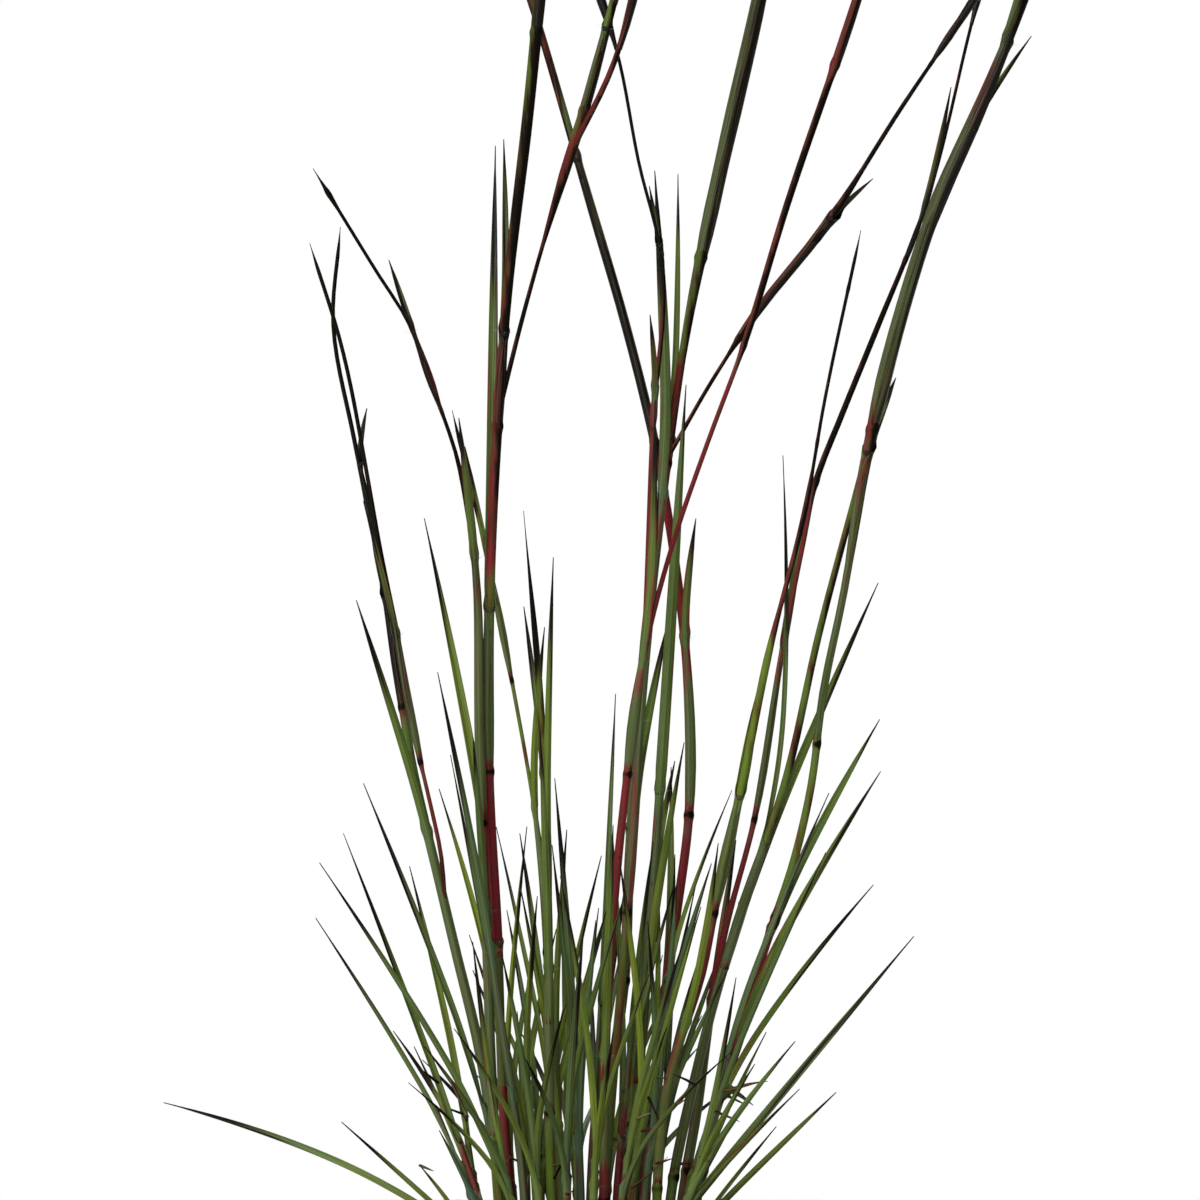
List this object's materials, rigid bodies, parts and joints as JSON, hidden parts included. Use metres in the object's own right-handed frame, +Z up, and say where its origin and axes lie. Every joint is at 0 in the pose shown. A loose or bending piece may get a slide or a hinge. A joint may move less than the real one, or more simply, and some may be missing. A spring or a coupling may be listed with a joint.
{
  "type": "potted little bluestem",
  "caption": "Upright clump of a fine-leaved prairie grass, with jointed reddish stems and narrow green blades, rooted in dark potting mix in a plain round nursery pot.",
  "frame": {"origin": "centre of the pot's flat underside, on the surface that the pot stands on", "axes": "+Z up along the pot's axis, +X to the viewer's right, +Y away from the viewer; the taller stems lean towards +X"},
  "size_m": [0.3337, 0.238, 0.7058],
  "materials": {
    "pot_plastic": "satin",
    "potting_mix": "matte",
    "flowering_stem": "satin",
    "leafy_shoot": "satin"
  },
  "bodies": {
    "root": {"pot": "pot_plastic", "soil": "potting_mix", "tall_stem_01": "flowering_stem", "tall_stem_02": "flowering_stem", "tall_stem_03": "flowering_stem", "tall_stem_04": "flowering_stem", "tall_stem_05": "flowering_stem", "tall_stem_06": "flowering_stem", "tall_stem_07": "flowering_stem", "tall_stem_08": "flowering_stem", "tall_stem_09": "flowering_stem", "tall_stem_10": "flowering_stem", "tall_stem_11": "flowering_stem", "tall_stem_12": "flowering_stem", "tall_stem_13": "flowering_stem", "tall_stem_14": "flowering_stem", "leafy_shoot_01": "leafy_shoot", "leafy_shoot_02": "leafy_shoot", "leafy_shoot_03": "leafy_shoot", "leafy_shoot_04": "leafy_shoot", "leafy_shoot_05": "leafy_shoot", "leafy_shoot_06": "leafy_shoot", "leafy_shoot_07": "leafy_shoot", "leafy_shoot_08": "leafy_shoot", "leafy_shoot_09": "leafy_shoot", "leafy_shoot_10": "leafy_shoot", "leafy_shoot_11": "leafy_shoot", "leafy_shoot_12": "leafy_shoot", "leafy_shoot_13": "leafy_shoot", "leafy_shoot_14": "leafy_shoot", "leafy_shoot_15": "leafy_shoot", "leafy_shoot_16": "leafy_shoot", "leafy_shoot_17": "leafy_shoot", "leafy_shoot_18": "leafy_shoot", "leafy_shoot_19": "leafy_shoot", "leafy_shoot_20": "leafy_shoot", "leafy_shoot_21": "leafy_shoot", "leafy_shoot_22": "leafy_shoot", "leafy_shoot_23": "leafy_shoot", "leafy_shoot_24": "leafy_shoot", "leafy_shoot_25": "leafy_shoot", "leafy_shoot_26": "leafy_shoot", "leafy_shoot_27": "leafy_shoot", "leafy_shoot_28": "leafy_shoot", "leafy_shoot_29": "leafy_shoot", "leafy_shoot_30": "leafy_shoot", "leafy_shoot_31": "leafy_shoot", "leafy_shoot_32": "leafy_shoot", "leafy_shoot_33": "leafy_shoot", "leafy_shoot_34": "leafy_shoot", "leafy_shoot_35": "leafy_shoot", "leafy_shoot_36": "leafy_shoot", "leafy_shoot_37": "leafy_shoot", "leafy_shoot_38": "leafy_shoot", "leafy_shoot_39": "leafy_shoot", "leafy_shoot_40": "leafy_shoot"}
  },
  "joints": []
}
